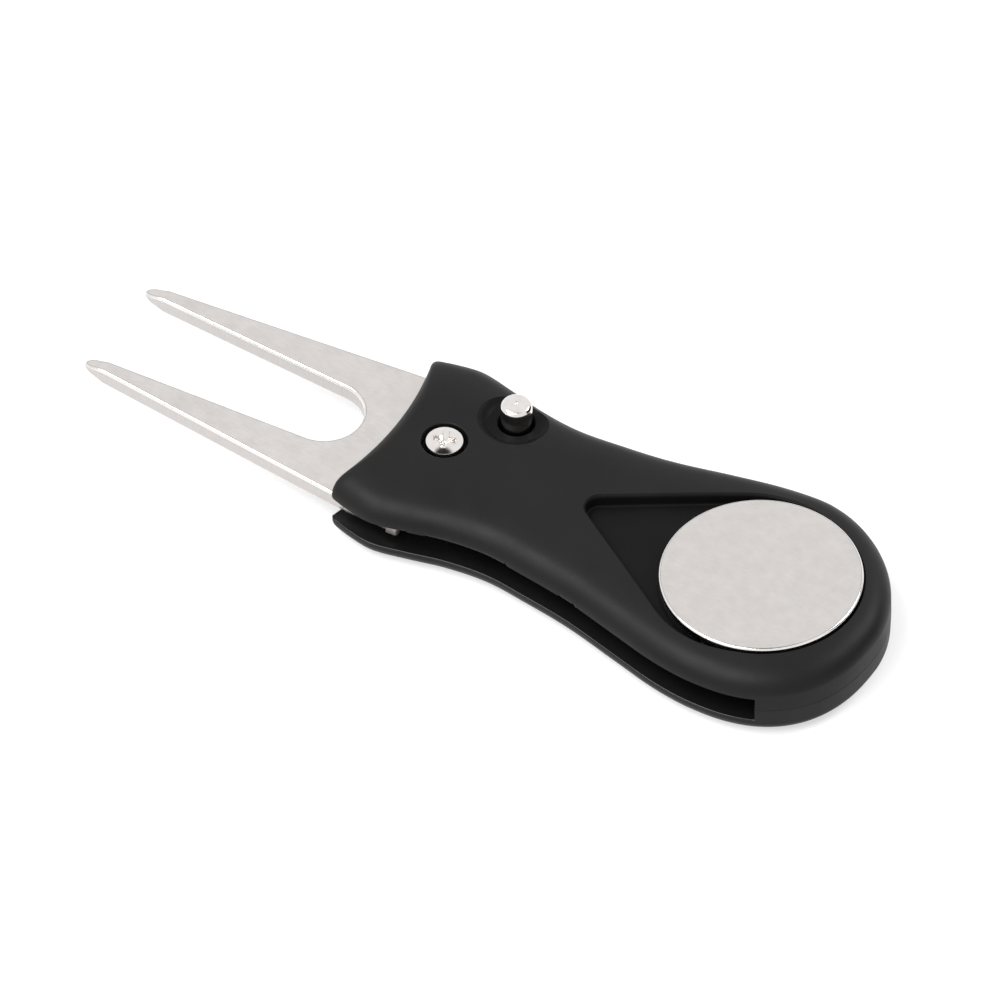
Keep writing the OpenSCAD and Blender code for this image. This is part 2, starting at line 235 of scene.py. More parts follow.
def lip(radius, top, size):
    """End of a hole's profile: its wall flares out in a round lip of that size at height top."""
    steps, reach = 5, 72
    points = []
    for i in range(steps + 1):
        a = math.radians(reach * i / steps)
        points.append((radius + size * (1 - math.cos(a)), top - size * (1 - math.sin(a))))
    rise = top + 0.02 - points[-1][1]
    points.append((points[-1][0] + 0.1 * rise, top + 0.02))
    return points


def bake(obj):
    """Applies the modifiers."""
    shown = obj.evaluated_get(bpy.context.evaluated_depsgraph_get())
    mesh = bpy.data.meshes.new_from_object(shown)
    obj.modifiers.clear()
    obj.data = mesh


def combine(obj, operation, tools):
    for tool in tools:
        step = obj.modifiers.new("step", "BOOLEAN")
        step.operation = operation
        step.solver = "EXACT"
        step.material_mode = "TRANSFER"
        step.object = tool
    bake(obj)
    for tool in tools:
        bpy.data.objects.remove(tool)
    bm = bmesh.new()
    bm.from_mesh(obj.data)
    bmesh.ops.remove_doubles(bm, verts=bm.verts, dist=WELD)
    bm.to_mesh(obj.data)
    bm.free()
    return obj


def cut(obj, *tools):
    return combine(obj, "DIFFERENCE", tools)


def add(obj, *tools):
    return combine(obj, "UNION", tools)


def coat(obj, material):
    """Gives the whole object one material, whatever empty slots the cuts have left."""
    obj.data.materials.clear()
    obj.data.materials.append(material)
    for face in obj.data.polygons:
        face.material_index = 0


def recoat(obj, material, chosen):
    """Gives the faces for which chosen(face) is true that material."""
    obj.data.materials.append(material)
    index = len(obj.data.materials) - 1
    for face in obj.data.polygons:
        if chosen(face):
            face.material_index = index


def soften(obj, size, chosen, segments=3, sharp=40, material=None):
    """Rounds the outward edges for which chosen(middle of the edge) is true, in that material."""
    index = -1
    if material:
        obj.data.materials.append(material)
        index = len(obj.data.materials) - 1
    bm = bmesh.new()
    bm.from_mesh(obj.data)
    bmesh.ops.dissolve_degenerate(bm, dist=1e-5, edges=bm.edges)
    edges = []
    for e in bm.edges:
        if len(e.link_faces) != 2 or not e.is_convex:
            continue
        if math.degrees(e.calc_face_angle(0)) < sharp:
            continue
        if chosen((e.verts[0].co + e.verts[1].co) / 2):
            edges.append(e)
    bmesh.ops.bevel(
        bm, geom=edges, offset=size, segments=segments, profile=0.5, affect="EDGES",
        clamp_overlap=False, loop_slide=True, material=index,
    )
    bmesh.ops.remove_doubles(bm, verts=bm.verts, dist=WELD)
    bm.to_mesh(obj.data)
    bm.free()


def settle(obj, body, nodes, crease=35, bend=None):
    """Smooths the shading, moves the shape to its place in the frame and hands it to its body,
    or, when bend is given, only bakes it in place without a body."""
    obj.data.transform(Matrix.Scale(MM, 4) @ Matrix.Translation((PIVOT_X, 0, 0)))
    obj.data.shade_smooth()
    obj.data.set_sharp_from_angle(angle=math.radians(crease))
    if bend:
        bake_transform(obj)
    else:
        normals = obj.modifiers.new("normals", "WEIGHTED_NORMAL")
        normals.keep_sharp = True
        normals.weight = 80
        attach(obj, body)
    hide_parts(*nodes)


# ---------- materials ----------


class Look:
    """A Principled material with its node tree, which the looks below add detail to."""

    def __init__(self, name, **values):
        self.material = bpy.data.materials.new(name)
        self.material.use_nodes = True
        self.tree = self.material.node_tree
        self.shader = self.tree.nodes["Principled BSDF"]
        for socket, value in values.items():
            self.shader.inputs[socket.replace("_", " ")].default_value = value
        self.place = self.tree.nodes.new("ShaderNodeTexCoord").outputs["Object"]

    def join(self, a, b):
        self.tree.links.new(a, b)

    def noise(self, grain, stretch=(1, 1, 1), detail=3.0, rough=0.5):
        """Noise whose grains are about that many metres across, drawn out along stretch."""
        mapping = self.tree.nodes.new("ShaderNodeMapping")
        mapping.inputs["Scale"].default_value = [1 / s for s in stretch]
        node = self.tree.nodes.new("ShaderNodeTexNoise")
        node.inputs["Scale"].default_value = 1 / grain
        node.inputs["Detail"].default_value = detail
        node.inputs["Roughness"].default_value = rough
        self.join(self.place, mapping.inputs["Vector"])
        self.join(mapping.outputs["Vector"], node.inputs["Vector"])
        return node.outputs["Fac"]

    def ramp(self, value, low, high, start=0.3, end=0.7):
        """A colour or a number between low and high as value goes from start to end."""
        node = self.tree.nodes.new("ShaderNodeValToRGB")
        for stop, at, colour in zip(node.color_ramp.elements, (start, end), (low, high)):
            stop.position = at
            stop.color = (*colour, 1) if isinstance(colour, tuple) else (colour, colour, colour, 1)
        self.join(value, node.inputs["Fac"])
        return node.outputs["Color"]

    def mix(self, share, a, b):
        node = self.tree.nodes.new("ShaderNodeMix")
        node.data_type = "RGBA"
        node.inputs["Factor"].default_value = share
        self.join(a, node.inputs["A"])
        self.join(b, node.inputs["B"])
        return node.outputs["Result"]

    def bump(self, height, depth):
        node = self.tree.nodes.new("ShaderNodeBump")
        node.inputs["Strength"].default_value = 1.0
        node.inputs["Distance"].default_value = depth
        self.join(height, node.inputs["Height"])
        self.join(node.outputs["Normal"], self.shader.inputs["Normal"])

    def drive(self, socket, value):
        self.join(value, self.shader.inputs[socket])


def soft_touch(name, specular):
    """Matte rubberised coat, with a fine grain and faint handling marks."""
    look = Look(name, Specular_IOR_Level=specular)
    patches = look.noise(0.009, detail=4)
    look.drive("Base Color", look.ramp(patches, (0.0042, 0.004, 0.0044), (0.0062, 0.0059, 0.0062)))
    look.drive("Roughness", look.ramp(look.noise(0.003, detail=5), 0.43, 0.5))
    look.bump(look.noise(0.00012, detail=2), 0.000012)
    return look.material


def glossy_black(name, specular, low, high):
    """Bare moulded plastic inside the slot and on its rims, where the coat ends."""
    look = Look(name, Specular_IOR_Level=specular)
    look.drive("Base Color", look.ramp(look.noise(0.006), (0.003, 0.003, 0.003), (0.005, 0.005, 0.005)))
    look.drive("Roughness", look.ramp(look.noise(0.002, detail=4), low, high))
    look.bump(look.noise(0.0015, detail=2), 0.00002)
    return look.material


def satin_steel():
    """Tumbled stainless plate: short faint strokes and cloudy patches."""
    look = Look("satin_steel", Metallic=1.0)
    strokes = look.noise(0.00022, stretch=(6, 1.2, 1), detail=3)
    clouds = look.noise(0.0022, detail=5, rough=0.6)
    both = look.mix(0.45, clouds, strokes)
    look.drive("Base Color", look.ramp(both, (0.615, 0.584, 0.562), (0.72, 0.689, 0.671), 0.3, 0.7))
    look.drive("Roughness", look.ramp(both, 0.28, 0.38))
    look.bump(both, 0.000012)
    return look.material


def milled_steel():
    """Cut sides of the plate, duller and a little darker than its faces."""
    look = Look("milled_side", Metallic=1.0)
    lines = look.noise(0.0001, stretch=(1, 1, 20), detail=3)
    look.drive("Base Color", look.ramp(lines, (0.5, 0.478, 0.464), (0.57, 0.543, 0.53)))
    look.drive("Roughness", look.ramp(lines, 0.32, 0.42))
    look.bump(lines, 0.000006)
    return look.material


def marker_steel():
    """Very fine brushed face."""
    look = Look("brushed_marker", Metallic=1.0)
    strokes = look.noise(0.00009, stretch=(14, 1, 1), detail=2)
    clouds = look.noise(0.0016, detail=6, rough=0.62)
    both = look.mix(0.5, clouds, strokes)
    look.drive("Base Color", look.ramp(both, (0.6, 0.57, 0.55), (0.69, 0.66, 0.64), 0.32, 0.68))
    look.drive("Roughness", look.ramp(both, 0.28, 0.38))
    look.bump(both, 0.000008)
    return look.material


def plated(name, tint, low, high, grain=0.0008):
    """Plated or polished metal with a slightly uneven shine."""
    look = Look(name, Metallic=1.0)
    cloud = look.noise(grain, detail=4)
    look.drive("Base Color", look.ramp(cloud, tuple(0.92 * c for c in tint), tint))
    look.drive("Roughness", look.ramp(cloud, low, high))
    look.bump(look.noise(grain / 3, detail=2), 0.000004)
    return look.material


def nylon():
    look = Look("washer_nylon", Specular_IOR_Level=0.4, Subsurface_Weight=0.1, Subsurface_Scale=0.001)
    cloud = look.noise(0.001, detail=3)
    look.drive("Base Color", look.ramp(cloud, (0.66, 0.64, 0.57), (0.74, 0.72, 0.66)))
    look.drive("Roughness", look.ramp(cloud, 0.4, 0.5))
    look.bump(look.noise(0.0002), 0.00001)
    return look.material


SOFT = soft_touch("soft_touch_black", 0.18)
# Same coat with less sheen for the thumb recess and the dish: painted shade that makes these hollows
# darker than the top.
SHADED_SOFT = soft_touch("soft_touch_painted_shade", 0.07)
GLOSS = glossy_black("moulded_black", 0.2, 0.2, 0.32)
RIM = glossy_black("moulded_rim", 0.3, 0.16, 0.26)
STEEL = satin_steel()
MILLED = milled_steel()
MARKER = marker_steel()
CHROME = plated("chrome", (0.82, 0.79, 0.765), 0.05, 0.1)
POLISHED = plated("polished_edge", (0.84, 0.815, 0.8), 0.1, 0.16)
# Darker metal for the first step of the fork's and marker's rounded edges: a painted dark reflection line.
PAINTED_DARK_REFLECTION = plated("painted_dark_reflection", (0.44, 0.425, 0.41), 0.24, 0.34)
ZINC = plated("zinc", (0.45, 0.46, 0.48), 0.3, 0.42)
BRONZE = plated("bronze", (0.5, 0.36, 0.18), 0.25, 0.36)
WIRE = plated("spring_wire", (0.46, 0.46, 0.47), 0.22, 0.34)
NICKEL = plated("nickel", (0.58, 0.57, 0.56), 0.18, 0.28)
BLACK_ZINC = plated("black_zinc", (0.06, 0.06, 0.066), 0.3, 0.42)
NYLON = nylon()


# ---------- handle ----------


def slope(i, side):
    """Slope of the side's curve at a station, 0 at the head."""
    s = SIDE_STATIONS
    if i == len(s) - 1:
        return 0.0
    a, b = s[max(i - 1, 0)], s[i + 1]
    return (b[side] - a[side]) / (b[0] - a[0])


def hermite(a, b, slope_a, slope_b, width, t):
    """Cubic from a to b over that width, t going from 0 to 1."""
    return (
        a * (1 + 2 * t) * (1 - t) ** 2 + slope_a * width * t * (1 - t) ** 2
        + b * t * t * (3 - 2 * t) + slope_b * width * t * t * (t - 1)
    )


def half_width(x, side):
    """Distance of the handle's side from its centre line, at x."""
    s = SIDE_STATIONS
    i = 0
    while i < len(s) - 2 and x >= s[i + 1][0]:
        i += 1
    a, b = s[i], s[i + 1]
    width = b[0] - a[0]
    return hermite(a[side], b[side], slope(i, side), slope(i + 1, side), width, (x - a[0]) / width)


def front_x(y):
    """The hollow front edge, an arc across the handle."""
    return -FRONT_EDGE - FRONT_HOLLOW_R + math.sqrt(FRONT_HOLLOW_R**2 - y * y)


def half_outline(inset, setback, side):
    """One side of the outline, moved in by inset, and its front moved back by setback."""
    front, corner, flank, rear = 14, 8, 110, 56  # steps along each part
    tip_y = half_width(front_x(12), side) - inset
    tip = (front_x(tip_y) + setback, tip_y)
    before = (front_x(tip_y - CORNER) + setback, tip_y - CORNER)
    after = (tip[0] + CORNER, half_width(tip[0] + CORNER, side) - inset)
    points = []
    for i in range(front):
        y = before[1] * (i + 0.5) / front
        points.append((front_x(y) + setback, y))
    for i in range(corner + 1):
        t = i / corner
        points.append(tuple(
            a * (1 - t) ** 2 + 2 * b * t * (1 - t) + c * t * t for a, b, c in zip(before, tip, after)
        ))
    for i in range(1, flank + 1):
        x = after[0] + (HEAD_X - after[0]) * i / flank
        points.append((x, half_width(x, side) - inset))
    power = 2 / HEAD_POWER[side]
    for i in range(1, rear + 1):
        t = math.radians(90 - 89.2 * i / rear)
        x = HEAD_X + (HANDLE_REAR - HEAD_X - inset) * math.cos(t) ** power
        points.append((x, (half_width(HEAD_X, side) - inset) * math.sin(t) ** power))
    return points


def outline(inset, setback):
    """The outline anticlockwise from above."""
    near = half_outline(inset, setback, NEAR)
    far = half_outline(inset, setback, FAR)
    return [(x, -y) for x, y in near] + far[::-1]


DOME_FROM = math.radians(74)
DOME_START = TOP_ROUND_IN * (1 - math.cos(DOME_FROM))
DOME_LOW = SLOT_ROOF + TOP_ROUND_UP * math.sin(DOME_FROM)
DOME_SLOPE = TOP_ROUND_UP * math.cos(DOME_FROM) / (TOP_ROUND_IN * math.sin(DOME_FROM))


def top_height(inset):
    """Height of the handle's top at that distance in from its side."""
    if inset >= DOME_IN:
        return HANDLE_TOP
    if inset < DOME_START:
        rest = 1 - max(inset, 0) / TOP_ROUND_IN
        return SLOT_ROOF + TOP_ROUND_UP * math.sqrt(1 - rest * rest)
    t = (inset - DOME_START) / (DOME_IN - DOME_START)
    return hermite(DOME_LOW, HANDLE_TOP, DOME_SLOPE, 0, DOME_IN - DOME_START, t)


def inset_at(x, y):
    """How far a point of the plan lies in from the handle's side."""
    side = FAR if y > 0 else NEAR
    if x < HEAD_X:
        return half_width(x, side) - abs(y)
    low, high = 0.0, 16.0
    power = HEAD_POWER[side]
    for _ in range(30):
        mid = (low + high) / 2
        a, b = HANDLE_REAR - HEAD_X - mid, half_width(HEAD_X, side) - mid
        if ((x - HEAD_X) / a) ** power + (abs(y) / b) ** power < 1:
            low = mid
        else:
            high = mid
    return low


def front_setback(z):
    """The front edge is rounded over at the top."""
    up = min(max((z - HANDLE_TOP + FRONT_ROUND) / FRONT_ROUND, 0), 1)
    return FRONT_ROUND * (1 - math.sqrt(1 - up * up))


def skin(name):
    """The whole outside of the handle, closed shells together."""
    rings = []
    for t in [math.radians(90 - 78 * i / 9) for i in range(10)]:
        low = 1 - math.cos(t)
        rings.append((BOTTOM_ROUND * (1 - math.sin(t)), BOTTOM_ROUND * low, 0.6 * low))
    rings.append((PARTING, 0, 0))
    for i in range(9):
        t = math.radians(11) + (DOME_FROM - math.radians(11)) * i / 8
        inset = TOP_ROUND_IN * (1 - math.cos(t))
        z = SLOT_ROOF + TOP_ROUND_UP * math.sin(t)
        rings.append((z, inset, front_setback(z)))
    for i in range(1, 13):
        inset = DOME_START + (DOME_IN - DOME_START) * i / 12
        z = top_height(inset)
        rings.append((z, inset, front_setback(z)))
    return loft(name, [[(x, y, z) for x, y in outline(inset, back)] for z, inset, back in rings])


def fork_space(name):
    """Space between the shells, open at the front and along the near side."""
    polygon = [
        (-20, -40), (52.8, -40), (52.8, 1.4), (10.4, 10.6), (6.4, 11.1), (0, 11.75), (-20, 11.75),
    ]
    space = add(
        prism(name, polygon, SLOT_FLOOR, SLOT_ROOF),
        disc("swing", SWING_R, SLOT_FLOOR, SLOT_ROOF, steps=160),
    )
    space.data.materials.append(GLOSS)
    return space


def teardrop(grow, steps=48):
    """Plan of the thumb recess, grown outward, anticlockwise from above."""
    front_r, rear_r = RECESS_FRONT_R + grow, RECESS_REAR_R + grow
    tilt = math.degrees(math.asin((rear_r - front_r) / (RECESS_REAR_X - RECESS_FRONT_X)))
    rear = circle(rear_r, (RECESS_REAR_X, 0), 2 * steps, -90 - tilt, 90 + tilt)
    nose = circle(front_r, (RECESS_FRONT_X, 0), steps // 2, 90 + tilt, 270 - tilt)

    def line(a, b):
        return [tuple(p + (q - p) * i / steps for p, q in zip(a, b)) for i in range(1, steps)]

    return rear + line(rear[-1], nose[0]) + nose + line(nose[-1], rear[0])


def recess(name, floor):
    """Cutter of the thumb recess. Its lip rolls over into the dome of the handle's top."""
    roll, fillet = 0.5, 0.25
    rings = []
    for i in range(4):
        t = math.radians(90 * i / 3)
        grow = fillet * (math.sin(t) - 1)
        rings.append([(x, y, floor + fillet * (1 - math.cos(t))) for x, y in teardrop(grow)])
    for i in range(6):
        t = math.radians(70 * i / 5)
        ring = []
        for x, y in teardrop(roll * (1 - math.cos(t))):
            ring.append((x, y, top_height(inset_at(x, y)) - roll * (1 - math.sin(t))))
        rings.append(ring)
    rings.append([(x, y, z + 0.06) for x, y, z in rings[-1]])
    rings.append([(x, y, 14.0) for x, y, z in rings[-1]])
    tool = loft(name, rings)
    # Faces cut by this get the low-sheen coat copy: painted shade in the recess.
    tool.data.materials.append(SHADED_SOFT)
    return tool


def deep_recess():
    """The deeper floor in front of the marker's seat."""
    tool = recess("deep_recess", RECESS_FLOOR)
    return cut(
        tool,
        disc("seat_disc", SEAT_R, *THROUGH, (MARKER_X, 0)),
        prism("rear_half", [(RECESS_REAR_X, -30), (80, -30), (80, 30), (RECESS_REAR_X, 30)], *THROUGH),
    )


def dish():
    """The button's hole and the dish round it, whose far side runs out over the handle's edge."""
    hole_r, edge = 2.32, 0.12
    profile = [(0, 0), (hole_r, 0), (hole_r, DISH_FLOOR - edge), (hole_r + edge, DISH_FLOOR)]
    for i in range(9):
        t = i / 8
        rise = (HANDLE_TOP + 0.03 - DISH_FLOOR) * (0.5 - 0.5 * math.cos(math.pi * t))
        profile.append((DISH_IN_R + (DISH_OUT_R - DISH_IN_R) * t, DISH_FLOOR + rise))
    tool = lathe("dish", profile + [(DISH_OUT_R + 0.3, CLEAR_HIGH), (0, CLEAR_HIGH)], BUTTON)
    # Faces cut by this get the low-sheen coat copy: painted shade in the dish.
    tool.data.materials.append(SHADED_SOFT)
    return tool


def half(name, low, high):
    """Cutter that takes away everything between two heights."""
    return prism(name, [(-60, -40), (80, -40), (80, 40), (-60, 40)], low, high)


def top_shell():
    body = skin("handle_top")
    body.data.materials.append(SOFT)
    cut(body, half("below", CLEAR_LOW, PARTING), fork_space("slot"))
    round_slot(body, SLOT_ROOF)
    pivot_hole = [(0, 0), (BUSH_BORE_R, 0), (BUSH_BORE_R, PIVOT_SEAT), (COUNTERBORE_R, PIVOT_SEAT)]
    pivot_hole += lip(COUNTERBORE_R, HANDLE_TOP, 0.22) + [(3.2, CLEAR_HIGH), (0, CLEAR_HIGH)]
    mouth = 6  # just inside the slot, where the spring's pockets open
    coil = [(COIL_BOSS_R, mouth), (LEG_POCKET_R, mouth), (LEG_POCKET_R, LEG_POCKET_TOP)]
    coil += [(COIL_POCKET_R, LEG_POCKET_TOP), (COIL_POCKET_R, COIL_POCKET_TOP)]
    coil += [(COIL_BOSS_R, COIL_POCKET_TOP)]
    arm = [(COIL_R, -0.55), (ARM_SLOT_END, -0.55), (ARM_SLOT_END, 0.55), (COIL_R, 0.55)]
    seat = [
        (0, MAGNET_POCKET_FLOOR), (MAGNET_POCKET_R, MAGNET_POCKET_FLOOR), (MAGNET_POCKET_R, SEAT),
        (MARKER_POCKET_R, SEAT),
    ]
    seat += lip(MARKER_POCKET_R, HANDLE_TOP, 0.2) + [(13, CLEAR_HIGH), (0, CLEAR_HIGH)]
    tools = [
        lathe("pivot_hole", pivot_hole),
        lathe("spring_pocket", coil, tube=True),
        prism("arm_slot", turned(arm, ARM_ANGLE), mouth, COIL_POCKET_TOP),
        dish(),
        lathe("marker_pocket", seat, (MARKER_X, 0), steps=192),
        recess("thumb_recess", SEAT + 0.02),
        deep_recess(),
    ]
    tools += [disc("pilot", 1.02, 0, 7.0, p, 32) for p in CASE_SCREWS]
    tools += [disc("peg_socket", 0.85, 0, PARTING + 1.5, p, 32) for p in PEGS]
    cut(body, *tools)
    settle(body, "handle", ["top_shell"])


def on_rim(p):
    """True for a point on the outside of the handle."""
    return inset_at(p.x, p.y) < 0.05 or p.x < front_x(p.y) + 0.05


def round_slot(body, level):
    """Rounds the slot's rim and, very slightly, the edge where the shells meet."""
    soften(body, 0.22, lambda p: abs(p.z - level) < 0.01 and on_rim(p), material=RIM)
    soften(body, 0.04, lambda p: abs(p.z - PARTING) < 0.01 and on_rim(p), segments=1)


def bottom_shell():
    body = skin("handle_bottom")
    body.data.materials.append(SOFT)
    cut(body, half("above", PARTING, 20), fork_space("slot"))
    round_slot(body, SLOT_FLOOR)
    nut_hole = [(0, CLEAR_LOW), (3.2, CLEAR_LOW), (2.95, 0.2), (2.95, 1.6), (1.98, 1.6), (1.98, 4), (0, 4)]
    case_hole = [(0, CLEAR_LOW), (2.3, CLEAR_LOW), (2.3, 0), (2.1, 0.2), (2.1, 1.5), (1.15, 1.5)]
    case_hole += [(1.15, 5), (0, 5)]
    tools = [lathe("nut_hole", nut_hole), disc("button_pocket", 2.55, 0.8, 4, BUTTON)]
    tools += [lathe("case_hole", case_hole, p, 48) for p in CASE_SCREWS]
    cut(body, *tools)
    add(body, *[disc("peg", 0.8, PARTING - 1, PARTING + 1.4, p, 32) for p in PEGS])
    settle(body, "handle", ["bottom_shell"])


# ---------- fork ----------


def prong_plan():
    """Plan of the two prongs and the plate behind them, symmetric about the centre line."""
    tip_x = -FORK_REACH + PRONG_POINT
    tip_y = FORK_HALF + EDGE_SPREAD * (tip_x - SHOULDER_X) - PRONG_TIP_R
    stretch = PRONG_POINT / PRONG_TIP_R
    side = [(GAP_ROOT[0], GAP_ROOT_R)]
    for x, y in reversed(circle(PRONG_TIP_R, (0, 0), 19, 90, 270)):
        side.append((tip_x + stretch * x, tip_y + y))
    side += [(SHOULDER_X, FORK_HALF), (TANG_REAR, FORK_HALF)]
    root = circle(GAP_ROOT_R, GAP_ROOT, 40, -90, 90)
    return side[::-1] + root[::-1][1:-1] + [(x, -y) for x, y in side]


def fork_holes():
    """Cutters of the bore, the two lock notches, the track between them and the spring's hole."""
    folded = BUTTON_ANGLE - FOLD_ANGLE
    tools = [disc("bore", FORK_BORE_R, *THROUGH)]
    for a in (BUTTON_ANGLE, folded):
        tools.append(disc("notch", NOTCH_R, *THROUGH, turned([(BUTTON_REACH, 0)], a)[0], 64))
    track = circle(TRACK_R, (0, 0), 60, folded, -50) + circle(TANG_R, (0, 0), 60, folded, -50)[::-1]
    tools.append(prism("track", track, *THROUGH))
    tools.append(disc("leg_hole", 0.45, *THROUGH, turned([(LEG_R, 0)], LEG_ANGLE)[0], 32))
    return tools


def split_across(obj, places):
    """Adds edges across the whole mesh at those x."""
    bm = bmesh.new()
    bm.from_mesh(obj.data)
    for x in places:
        everything = bm.verts[:] + bm.edges[:] + bm.faces[:]
        bmesh.ops.bisect_plane(bm, geom=everything, plane_co=(x, 0, 0), plane_no=(1, 0, 0))
    bm.to_mesh(obj.data)
    bm.free()


def fork():
    low, high = FORK_UNDER, FORK_TOP
    taper = -FORK_REACH + TAPER_LENGTH
    inside = -7.6  # edges behind this are hidden in the handle and stay sharp
    body = prism("fork_plate", prong_plan(), low, high)
    ear = [(0, 0)] + circle(EAR_R, (0, 0), 40, BUTTON_ANGLE, 100)
    heel = [
        (-1.4, -11.87), (-0.25, -11.87), (-0.05, -11.8), (0.07, -11.65), (0.1, -11.45), (0.1, -11),
        (-1.4, -11),
    ]
    add(
        body, disc("tang", TANG_R, low, high, steps=160), prism("ear", ear, low, high),
        prism("heel", heel, low, high),
    )
    cut(body, *fork_holes())
    split_across(body, (taper, inside))
    coat(body, STEEL)
    recoat(body, MILLED, lambda face: abs(face.normal.z) < 0.5)

    def edges_at(z):
        return lambda p: abs(p.z - z) < 0.01 and p.x < inside

    soften(body, 0.34, edges_at(high), segments=6, sharp=60, material=POLISHED)
    rounded = body.data.materials.find(POLISHED.name)
    # The top step of the rounded edge gets darker metal: a painted dark reflection line.
    recoat(body, PAINTED_DARK_REFLECTION, lambda face: face.material_index == rounded and face.normal.z > 0.97)
    soften(body, 0.2, edges_at(low), sharp=60, material=POLISHED)
    for v in body.data.vertices:
        along = max(0.0, (taper - v.co.x) / TAPER_LENGTH)
        up = (v.co.z - low) / (high - low)
        v.co.z += (1 - up) * 1.1 * along - up * 0.8 * along
    settle(body, "fork", ["fork"], crease=30)


# ---------- pivot screw, button and marker ----------


def pivot_screw():
    under = PIVOT_SEAT + 0.02
    ball_r = (SCREW_HEAD_R**2 + SCREW_DOME**2) / (2 * SCREW_DOME)
    profile = [(0, 2.2), (1.48, 2.2), (1.48, under), (SCREW_HEAD_R - 0.12, under)]
    profile += [(SCREW_HEAD_R, under + 0.12), (SCREW_HEAD_R, SCREW_TOP - SCREW_DOME - 0.14)]
    reach = math.asin((SCREW_HEAD_R - 0.1) / ball_r)
    for i in range(9):
        a = reach * (1 - i / 8)
        profile.append((ball_r * math.sin(a), SCREW_TOP - ball_r + ball_r * math.cos(a)))
    body = lathe("pivot_screw_head", profile, steps=96)
    sections = ((0.95, 0.7, 0.2), (0.8, 0.85, 0.27), (0.2, 1.38, 0.38), (-0.7, 1.6, 0.46))
    cross = []
    for a in (20, 110):
        rings = []
        for depth, long, wide in sections:
            corners = [(-long, -wide), (long, -wide), (long, wide), (-long, wide)]
            rings.append([(x, y, SCREW_TOP - depth) for x, y in turned(corners, a)])
        cross.append(loft("arm", rings))
    point = [(0, 1.2), (0.62, 0.75), (0.95, -0.7), (0, -0.7)]
    cross.append(lathe("point", [(r, SCREW_TOP - depth) for r, depth in point], steps=32))
    cut(body, *cross)
    soften(body, 0.05, lambda p: p.z > SCREW_TOP - 0.5 and math.hypot(p.x, p.y) < 1.7, segments=2)
    coat(body, CHROME)
    settle(body, "handle", ["pivot_screw"])


def lock_button():
    profile = [
        (0.7, 2.3), (2.2, 2.3), (2.3, 2.4), (2.3, 3.2), (2.2, 3.3), (1.05, 3.3), (1.05, 7.2),
        (BUTTON_R - 0.1, 7.2), (BUTTON_R, 7.3), (BUTTON_R, 11.6), (BUTTON_R - 0.02, 11.68),
        (BUTTON_R - 0.34, 11.97), (BUTTON_R - 0.42, BUTTON_TOP), (0.24, BUTTON_TOP),
        (0.14, 11.95), (0, 11.8), (0, 6.6), (0.7, 6.6),
    ]
    body = lathe("lock_button_turned", profile, BUTTON, steps=128, tube=True)
    coat(body, CHROME)
    settle(body, "button", ["lock_button"])


def ball_marker():
    profile = [
        (0, MARKER_UNDER), (MARKER_R - MARKER_EDGE, MARKER_UNDER), (MARKER_R, MARKER_UNDER + MARKER_EDGE),
    ]
    for i in range(7):
        a = math.radians(90 * i / 6)
        r = MARKER_R - MARKER_EDGE * (1 - math.cos(a))
        profile.append((r, MARKER_TOP - MARKER_EDGE * (1 - math.sin(a))))
    profile.append((0, MARKER_TOP))
    body = lathe("ball_marker_disc", profile, (MARKER_X, 0), steps=256)
    coat(body, MARKER)
    recoat(body, POLISHED, lambda face: abs(face.normal.z) < 0.995)
    # The top step of the rounded edge gets darker metal: a painted dark reflection line.
    recoat(body, PAINTED_DARK_REFLECTION, lambda face: 0.97 < face.normal.z < 0.995)
    settle(body, "marker", ["ball_marker"])


# ---------- springs ----------


def wire(name, path, radius, material, sides=10):
    """A round wire along a path. Each section is turned on from the one before, without twist."""
    points = [Vector(p) for p in path]
    turns = [2 * math.pi * k / sides for k in range(sides)]
    before = None
    rings = []
    for i, p in enumerate(points):
        along = (points[min(i + 1, len(points) - 1)] - points[max(i - 1, 0)]).normalized()
        if before is None:
            side = along.orthogonal().normalized()
        else:
            side = before.rotation_difference(along) @ side
        before = along
        up = along.cross(side)
        rings.append([tuple(p + radius * (math.cos(a) * side + math.sin(a) * up)) for a in turns])
    body = loft(name, rings)
    coat(body, material)
    return body


def torsion_spring():
    """Its upper arm stays in the top shell and its lower leg in the fork."""
    per_turn = 36
    x, y = turned([(LEG_R, 0)], LEG_ANGLE)[0]
    path = [(x, y, 3.7), (x, y, 5.0), (x, y, COIL_LOW - 0.35)]
    path += [(0.985 * x, 0.985 * y, COIL_LOW - 0.1), (0.96 * x, 0.96 * y, COIL_LOW)]
    for i in range(int(COIL_TURNS * per_turn) + 1):
        x, y = turned([(COIL_R, 0)], 20 + 360 * i / per_turn)[0]
        path.append((x, y, COIL_LOW + COIL_PITCH * i / per_turn))
    high = COIL_LOW + COIL_PITCH * COIL_TURNS
    path.append((*turned([(ARM_R, 0)], ARM_ANGLE)[0], high))
    body = wire("torsion_spring_wire", path, 0.29, WIRE)
    bend = ("handle", "fork", (0, 0, high * MM), (0, 0, COIL_LOW * MM))
    settle(body, None, ["torsion_spring"], bend=bend)


def button_spring():
    """Stands in the bottom shell and reaches up inside the hollow button."""
    low, high, coil_r, turns, per_turn = 0.94, 6.4, 0.48, 8, 20
    steps = turns * per_turn
    path = []
    for i in range(steps + 1):
        x, y = turned([(coil_r, 0)], 360 * i / per_turn)[0]
        path.append((BUTTON[0] + x, BUTTON[1] + y, low + (high - low) * i / steps))
    body = wire("button_spring_wire", path, 0.12, WIRE, sides=8)
    bend = ("handle", "button", (0, 0, low * MM), (0, 0, high * MM))
    settle(body, None, ["button_spring"], bend=bend)


# ---------- CAD nodes that stay ----------


